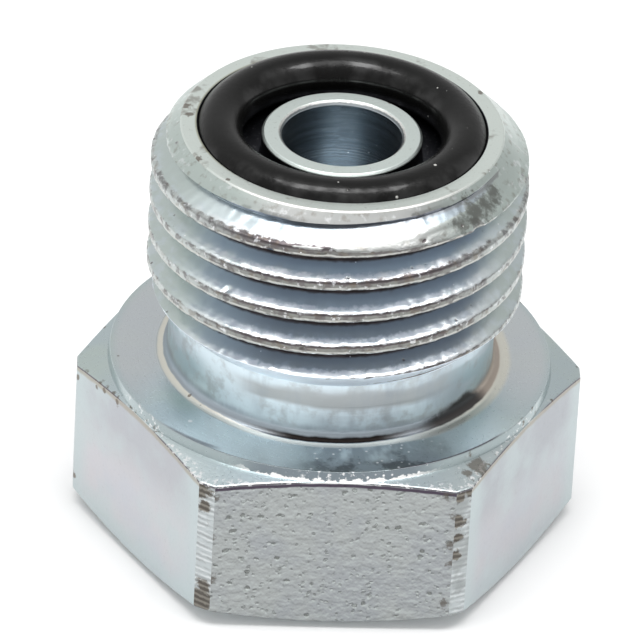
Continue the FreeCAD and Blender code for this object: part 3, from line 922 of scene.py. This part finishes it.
def makePlug():
    shell = turnBlank()
    blank = bpy.data.meshes.new("blank")
    vertices = (np.array(shell.vertices) * millimetre).tolist()
    blank.from_pydata(vertices, [], shell.faces)
    blank.polygons.foreach_set("material_index", [zones.index(zone) for zone in shell.zones])
    turns = cutThread()
    turns.polygons.foreach_set("material_index", [zones.index("thread")] * len(turns.polygons))
    print(f"thread {len(turns.polygons)} faces, blank {len(blank.polygons)} faces")
    bm = bmesh.new()
    bm.from_mesh(turns)
    bm.from_mesh(blank)
    bmesh.ops.remove_doubles(bm, verts=bm.verts, dist=plug["weld"] * millimetre)
    bmesh.ops.recalc_face_normals(bm, faces=bm.faces)
    loose = sum(len(edge.link_faces) != 2 for edge in bm.edges)
    triangles = sum(len(f.verts) - 2 for f in bm.faces)
    print(f"plug: {triangles} triangles, {loose} edges without two faces")
    corner = zones.index("corner")
    flats = {zones.index("flat"), zones.index("roughFlat")}
    sharp = math.radians(plug["sharpFrom"])
    for edge in bm.edges:
        kinds = {f.material_index for f in edge.link_faces}
        if corner in kinds and kinds & flats or edge.calc_face_angle(0.0) > sharp:
            edge.smooth = False
    mesh = bpy.data.meshes.new("plugBody")
    bm.to_mesh(mesh)
    bm.free()
    piece = newPiece("plugBody", mesh, steels.values())
    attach(piece, "root")
    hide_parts("plug_body")


sealRing = {
    "centreRadius": 4.632, "height": 16.56, "section": 0.89, "around": 240, "across": 48,
    "rubber": colour(0.005, 0.005, 0.0048), "dust": colour(0.55, 0.55, 0.52),
    "haze": colour(0.011, 0.0115, 0.0115),
}


def nitrileRubber():
    material, board = newMaterial("nitrileRubber")
    at = Place(board)
    fine = board.noise(at.point, 8.0, 4.0, 0.6)
    coat = Coat(board, sealRing, "rubber")
    coat.lay(board.patches(at.point, 0.9, 0.50, 0.70) * 0.6, "haze")
    dust = board.maths("MAXIMUM", board.dots(at.point, 1.5, 0.085, 0.24),
                       board.dots(at.point, 3.0, 0.10, 0.08))
    coat.lay(dust, "dust")
    oil = ((at.radius - sealRing["centreRadius"]) * (0.0 - at.y) / at.radius).step(0.15, 0.40)
    finishMaterial(board, {
        "Base Color": coat.colour, "Metallic": 0.0, "Specular IOR Level": 0.18,
        "Roughness": 0.22 + (fine - 0.5) * 0.16 + dust * 0.4,
        "Coat Weight": oil * board.patches(at.point, 0.9, 0.36, 0.64) * 0.8,
        "Coat Roughness": 0.10,
        "Normal": board.bump(fine * 0.012 + dust * 0.02)})
    return material


def makeRing():
    across, around = sealRing["across"], sealRing["around"]
    vertices, faces = [], []
    for column in range(around):
        turn = math.tau * column / around
        for row in range(across):
            bend = math.tau * row / across
            radius = sealRing["centreRadius"] + sealRing["section"] * math.cos(bend)
            height = sealRing["height"] + sealRing["section"] * math.sin(bend)
            vertices.append(Vector((radius * math.cos(turn), radius * math.sin(turn), height))
                            * millimetre)
            after, up = (column + 1) % around, (row + 1) % across
            faces.append((column * across + row, after * across + row,
                          after * across + up, column * across + up))
    mesh = bpy.data.meshes.new("sealRing")
    mesh.from_pydata(vertices, [], faces)
    piece = newPiece("sealRing", mesh, [nitrileRubber()])
    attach(piece, "root")
    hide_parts("o_ring")


# Photographer's place, fitted to the picture: straight onto the plug from above its front flat
view = {"target": 9.0, "distance": 311.35, "elevation": 32.357, "turn": -3.5693,
        "roll": 3.2548, "focal": 8190.1, "pixels": 640, "aside": 12.4512, "down": -13.7356,
        "sensor": 36.0, "clip": (0.01, 50.0)}


def placeCamera():
    tilt, roll = math.radians(view["elevation"]), math.radians(view["roll"])
    forward = Vector((0, math.cos(tilt), -math.sin(tilt)))
    sideways = Vector((1, 0, 0))
    upward = sideways.cross(forward)
    right = math.cos(roll) * sideways + math.sin(roll) * upward
    above = -math.sin(roll) * sideways + math.cos(roll) * upward
    position = Vector((0, 0, view["target"])) - forward * view["distance"]
    aim = (view["focal"] * forward - view["aside"] * right + view["down"] * above).normalized()
    right = (right - aim * right.dot(aim)).normalized()
    above = right.cross(aim)
    axes = Matrix((right, above, -aim)).transposed().to_4x4()
    data = bpy.data.cameras.new("camera")
    data.sensor_width = view["sensor"]
    data.lens = view["focal"] / view["pixels"] * data.sensor_width
    data.clip_start, data.clip_end = view["clip"]
    camera = newObject("camera", data)
    turned = Matrix.Rotation(math.radians(view["turn"]), 4, "Z")
    camera.matrix_world = turned @ Matrix.Translation(position * millimetre) @ axes
    bpy.context.scene.camera = camera


# Brightness of the studio by the upward part of the direction, in front of the plug and behind it
studio = {"floorSize": 6.0, "floorColour": 0.86, "floorLift": 0.08,
          "lampRadiance": 5.5, "lampSize": (0.54, 0.18), "lampPlace": (0.0, -0.06, 0.5),
          "front": ((-1.0, 0.55), (0.0, 0.66), (0.40, 0.54), (0.66, 0.62), (0.82, 0.95), (1.0, 1.15)),
          "back": ((-1.0, 0.60), (0.0, 0.78), (0.30, 0.72), (0.55, 0.74), (0.80, 0.80), (1.0, 0.95)),
          "seam": 0.35, "leftwards": 0.18}


def lightWorld():
    world = bpy.data.worlds.new("studio")
    bpy.context.scene.world = world
    world.use_nodes = True
    world.node_tree.nodes.clear()
    board = Board(world.node_tree)
    aside, behind, up = board.split(board.add("ShaderNodeTexCoord", None, (), "Generated"))
    levels = {}
    for half in ("front", "back"):
        levels[half] = board.add("ShaderNodeValToRGB", None, (up * 0.5 + 0.5,), "Color")
        stops = levels[half].socket.node.color_ramp.elements
        for number, (height, level) in enumerate(studio[half]):
            stop = stops[number] if number < 2 else stops.new(height * 0.5 + 0.5)
            stop.position, stop.color = height * 0.5 + 0.5, grey(level)
    rear = behind.step(-studio["seam"], studio["seam"])
    light = board.mix(rear, levels["front"], levels["back"])
    strength = 1.0 - aside * studio["leftwards"]
    sky = board.add("ShaderNodeBackground", None, {"Color": light, "Strength": strength})
    board.add("ShaderNodeOutputWorld", None, {"Surface": sky})


def layFloor():
    half = studio["floorSize"] / 2
    mesh = bpy.data.meshes.new("floor")
    mesh.from_pydata([(-half, -half, 0), (half, -half, 0), (half, half, 0), (-half, half, 0)],
                     [], [(0, 1, 2, 3)])
    floor = newObject("floor", mesh)
    material, board = newMaterial("floorPaper")
    path = board.add("ShaderNodeLightPath", None, (), "Is Camera Ray")
    seen = board.maths("MAXIMUM", board.maths("MAXIMUM", path, board.other(path, "Is Glossy Ray")),
                       board.other(path, "Is Transmission Ray"))
    paper = board.add("ShaderNodeBsdfDiffuse", None, {"Color": grey(studio["floorColour"])})
    lift = board.add("ShaderNodeEmission", None, {"Color": grey(1.0),
                                                  "Strength": seen * studio["floorLift"]})
    both = board.add("ShaderNodeAddShader", None, (paper, lift))
    board.add("ShaderNodeOutputMaterial", None, {"Surface": both})
    mesh.materials.append(material)


def hangLamp():  # long softbox above the plug
    data = bpy.data.lights.new("softbox", "AREA")
    data.shape = "RECTANGLE"
    data.size, data.size_y = studio["lampSize"]
    data.energy = studio["lampRadiance"] * math.pi * data.size * data.size_y
    newObject("softbox", data).location = studio["lampPlace"]


makePlug()
print("plug body made")
makeRing()
print("seal ring made")
placeCamera()
bpy.context.scene.view_settings.view_transform = "Standard"
lightWorld()
layFloor()
hangLamp()
print("camera and studio placed")
